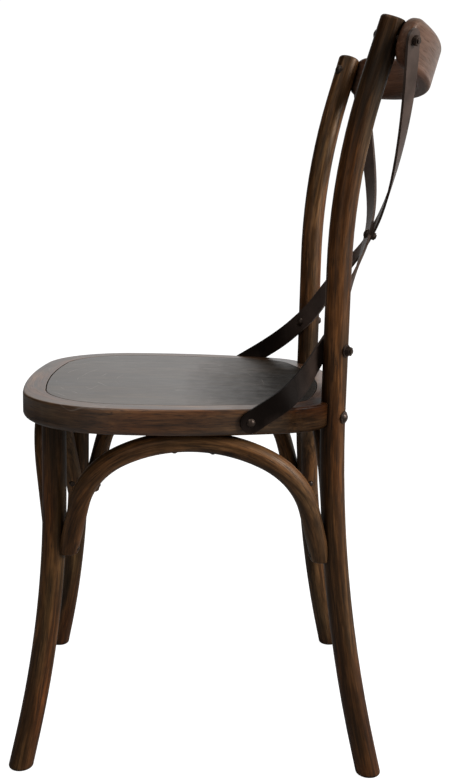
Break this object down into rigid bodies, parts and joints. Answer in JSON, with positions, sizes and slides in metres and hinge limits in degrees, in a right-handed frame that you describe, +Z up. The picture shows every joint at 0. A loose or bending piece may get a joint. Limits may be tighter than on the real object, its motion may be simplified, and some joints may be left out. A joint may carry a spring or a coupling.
{
  "type": "cross back dining chair",
  "caption": "Bentwood side chair with a flush wooden seat, curved splayed legs, arched braces under the seat, a curved crest rail and flat metal straps crossing in the back.",
  "frame": {"origin": "on the floor, midway across the chair and midway between its front and back", "axes": "+Z up, -Y the way the sitter faces, +Y towards the back, +X the sitter's left"},
  "size_m": [0.438, 0.5117, 0.8862],
  "materials": {
    "seat_frame": "dark walnut stain under satin lacquer",
    "seat_panel": "dark walnut stain under satin lacquer",
    "legs": "dark walnut stain under satin lacquer",
    "posts": "dark walnut stain under satin lacquer",
    "braces": "dark walnut stain under satin lacquer",
    "crest_rail": "dark walnut stain under satin lacquer",
    "straps": "dark brown antiqued coating, satin",
    "hardware": "oil-rubbed bronze coating, satin",
    "screws": "dark bronzed steel"
  },
  "bodies": {
    "root": {"seat_frame": "seat_frame", "seat_panel": "seat_panel", "front_leg_left": "legs", "front_leg_right": "legs", "rear_post_left": "posts", "rear_post_right": "posts", "side_arch_left": "braces", "side_arch_right": "braces", "front_arch": "braces", "rear_arch": "braces", "crest_rail": "crest_rail", "back_strap_left": "straps", "back_strap_right": "straps", "strap_centre_bolt": "hardware", "strap_centre_nut": "hardware", "crest_bolts": "hardware", "crest_bolt_nuts": "hardware", "post_strap_bolts": "hardware", "post_strap_nuts": "hardware", "post_strap_washers": "hardware", "seat_bolts": "hardware", "seat_bolt_washers": "hardware", "strap_end_screws": "hardware", "arch_leg_screws": "screws", "arch_seat_screws": "screws"}
  },
  "joints": []
}
